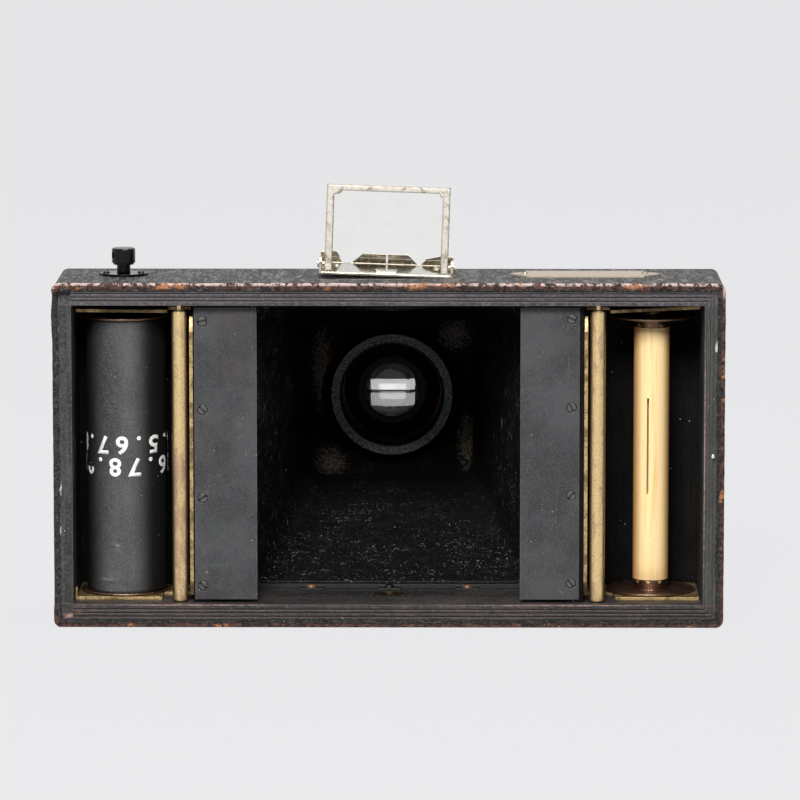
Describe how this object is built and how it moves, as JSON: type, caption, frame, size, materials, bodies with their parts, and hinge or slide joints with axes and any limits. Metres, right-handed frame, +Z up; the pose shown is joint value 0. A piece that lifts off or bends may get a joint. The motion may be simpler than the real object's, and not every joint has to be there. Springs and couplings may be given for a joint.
{
  "type": "folding strut roll film camera",
  "caption": "Wooden roll film camera with its back cover off: leather bag, folding scissor struts, lens and shutter on the front board, film spools in the side chambers, folding frame finder.",
  "frame": {"origin": "centre of the tripod bush's mouth, in the middle of the base", "axes": "+X to the right seen from behind, +Y out through the lens, +Z up"},
  "size_m": [0.226, 0.1667, 0.149],
  "materials": {
    "case_wood": "black stained, worn",
    "black_wood": "dull black",
    "leather": "pebble grained, worn brown at the edges",
    "blued_steel": "blued, rubbed",
    "screw_steel": "worn",
    "brass": "tarnished",
    "roller_brass": "tarnished, rubbed bright",
    "black_enamel": "gloss, chipped",
    "nickel": "dull nickel, yellowed",
    "name_nickel": "dull, bare",
    "small_screws": "worn",
    "copper_screws": "coppered",
    "pin_steel": "bright",
    "bag_leather": "thin, dull, speckled",
    "spool_wood": "pale, smooth",
    "copper_tin": "coppered tinplate, tarnished",
    "backing_paper": "matt black paper with pale printed marks",
    "finder_glass": "clear",
    "board_wood": "black stained",
    "shutter_black": "gloss black",
    "shutter_brass": "lacquered",
    "tube_grey": "dull grey",
    "lens_glass": "clear, cool sheen"
  },
  "bodies": {
    "case": {"top_board": "case_wood", "base_board": "case_wood", "left_end_board": "case_wood", "right_end_board": "case_wood", "front_panel": "case_wood", "left_partition": "black_wood", "right_partition": "black_wood", "leather_wrap": "leather", "leather_base": "leather", "left_film_plate": "blued_steel", "right_film_plate": "blued_steel", "film_plate_screws": "screw_steel", "left_spool_carrier": "brass", "right_spool_carrier": "brass", "key_plate": "black_enamel", "trim_screws": "small_screws", "name_plate": "name_nickel", "finder_base": "nickel", "finder_hinge_pins": "small_screws", "back_locating_pin": "pin_steel", "tripod_bush": "brass", "bag_rear_frame": "black_enamel", "interior_screws": "copper_screws", "bag": "bag_leather", "left_strut_bracket": "nickel", "right_strut_bracket": "nickel"},
    "take_up_spool": {"take_up_core": "spool_wood", "take_up_flanges": "copper_tin", "film_roll": "backing_paper"},
    "winding_key": {"winding_key": "black_enamel"},
    "supply_spool": {"supply_core": "spool_wood", "supply_flanges": "copper_tin"},
    "left_guide_roller": {"left_guide_roller": "roller_brass"},
    "right_guide_roller": {"right_guide_roller": "roller_brass"},
    "finder": {"finder_frame": "nickel", "finder_lens": "finder_glass"},
    "left_strut_rear_riser": {"left_strut_rear_riser": "nickel"},
    "left_strut_rear_faller": {"left_strut_rear_faller": "nickel"},
    "left_strut_front_faller": {"left_strut_front_faller": "nickel"},
    "left_strut_front_riser": {"left_strut_front_riser": "nickel"},
    "right_strut_rear_riser": {"right_strut_rear_riser": "nickel"},
    "right_strut_rear_faller": {"right_strut_rear_faller": "nickel"},
    "right_strut_front_faller": {"right_strut_front_faller": "nickel"},
    "right_strut_front_riser": {"right_strut_front_riser": "nickel"},
    "front": {"front_board": "board_wood", "front_leather": "leather", "left_front_bracket": "nickel", "right_front_bracket": "nickel", "bag_front_frame": "black_enamel", "shutter_case": "shutter_black", "shutter_cover": "shutter_brass", "lens_tube": "tube_grey", "rear_lens_cell": "shutter_black", "rear_lens": "lens_glass", "front_lens_cell": "shutter_brass", "front_lens": "lens_glass"},
    "stop_wheel": {"stop_wheel": "shutter_brass"},
    "shutter_leaf": {"shutter_leaf": "shutter_black"},
    "release_lever": {"release_lever": "nickel"},
    "front_foot": {"front_foot": "nickel"}
  },
  "joints": [
    {"name": "take_up_spool_turn", "type": "hinge", "parent": "case", "child": "take_up_spool", "pos_m": [-0.0902, 0.0015, 0.056], "axis": [0, 0, 1], "continuous": true},
    {"name": "winding_key_turn", "type": "hinge", "parent": "case", "child": "winding_key", "pos_m": [-0.0902, 0.0015, 0.11], "axis": [0, 0, 1], "continuous": true},
    {"name": "supply_spool_turn", "type": "hinge", "parent": "case", "child": "supply_spool", "pos_m": [0.0894, 0.0015, 0.056], "axis": [0, 0, 1], "continuous": true},
    {"name": "left_guide_roller_turn", "type": "hinge", "parent": "case", "child": "left_guide_roller", "pos_m": [-0.0706, -0.0161, 0.0585], "axis": [0, 0, 1], "continuous": true},
    {"name": "right_guide_roller_turn", "type": "hinge", "parent": "case", "child": "right_guide_roller", "pos_m": [0.0706, -0.0161, 0.0585], "axis": [0, 0, 1], "continuous": true},
    {"name": "finder_fold", "type": "hinge", "parent": "case", "child": "finder", "pos_m": [-0.00087, -0.0067, 0.12119], "axis": [-0.9994, 0, 0.0349], "range_deg": [0, 90]},
    {"name": "strut_fold", "type": "hinge", "parent": "case", "child": "left_strut_rear_riser", "pos_m": [-0.0515, 0.0135, 0.036], "axis": [1, 0, 0], "range_deg": [0, 61.98], "deforming": ["bag"]},
    {"name": "left_rear_crossing", "type": "hinge", "parent": "left_strut_rear_riser", "child": "left_strut_rear_faller", "pos_m": [-0.0515, 0.0385, 0.0461], "axis": [1, 0, 0], "range_deg": [-123.98, 0]},
    {"name": "left_upper_knuckle", "type": "hinge", "parent": "left_strut_rear_riser", "child": "left_strut_front_faller", "pos_m": [-0.0515, 0.0635, 0.0562], "axis": [1, 0, 0], "range_deg": [-123.98, 0]},
    {"name": "left_front_crossing", "type": "hinge", "parent": "left_strut_front_faller", "child": "left_strut_front_riser", "pos_m": [-0.0515, 0.0885, 0.0461], "axis": [1, 0, 0], "range_deg": [0, 123.98]},
    {"name": "front_board_pivot", "type": "hinge", "parent": "left_strut_front_faller", "child": "front", "pos_m": [-0.0515, 0.1135, 0.036], "axis": [1, 0, 0], "range_deg": [0, 61.99]},
    {"name": "right_strut_fold", "type": "hinge", "parent": "case", "child": "right_strut_rear_riser", "pos_m": [0.0515, 0.0135, 0.036], "axis": [1, 0, 0], "range_deg": [0, 61.99]},
    {"name": "right_rear_crossing", "type": "hinge", "parent": "right_strut_rear_riser", "child": "right_strut_rear_faller", "pos_m": [0.0515, 0.0385, 0.0461], "axis": [1, 0, 0], "range_deg": [-123.98, 0]},
    {"name": "right_upper_knuckle", "type": "hinge", "parent": "right_strut_rear_riser", "child": "right_strut_front_faller", "pos_m": [0.0515, 0.0635, 0.0562], "axis": [1, 0, 0], "range_deg": [-123.98, 0]},
    {"name": "right_front_crossing", "type": "hinge", "parent": "right_strut_front_faller", "child": "right_strut_front_riser", "pos_m": [0.0515, 0.0885, 0.0461], "axis": [1, 0, 0], "range_deg": [0, 123.98]},
    {"name": "stop_wheel_turn", "type": "hinge", "parent": "front", "child": "stop_wheel", "pos_m": [0.016, 0.1251, 0.0615], "axis": [0, 1, 0], "continuous": true},
    {"name": "shutter_leaf_swing", "type": "hinge", "parent": "front", "child": "shutter_leaf", "pos_m": [0, 0.1264, 0.0783], "axis": [0, -1, 0], "range_deg": [0, 57.6], "stiffness_Nm_per_rad": 0.002, "springref_deg": -17.19},
    {"name": "release_lever_press", "type": "hinge", "parent": "front", "child": "release_lever", "pos_m": [-0.025, 0.1276, 0.0555], "axis": [0, -1, 0], "range_deg": [0, 18.01]},
    {"name": "front_foot_swing", "type": "hinge", "parent": "front", "child": "front_foot", "pos_m": [0, 0.1165, 0.0177], "axis": [0, -1, 0], "range_deg": [0, 90]}
  ],
  "couplings": [
    {"joint": "winding_key_turn", "follows": "take_up_spool_turn", "ratio": 1},
    {"joint": "left_rear_crossing", "follows": "strut_fold", "ratio": -2},
    {"joint": "left_upper_knuckle", "follows": "strut_fold", "ratio": -2},
    {"joint": "left_front_crossing", "follows": "strut_fold", "ratio": 2},
    {"joint": "front_board_pivot", "follows": "strut_fold", "ratio": 1},
    {"joint": "right_strut_fold", "follows": "strut_fold", "ratio": 1},
    {"joint": "right_rear_crossing", "follows": "strut_fold", "ratio": -2},
    {"joint": "right_upper_knuckle", "follows": "strut_fold", "ratio": -2},
    {"joint": "right_front_crossing", "follows": "strut_fold", "ratio": 2},
    {"joint": "release_lever_press", "follows": "shutter_leaf_swing", "ratio": 0.3125}
  ]
}
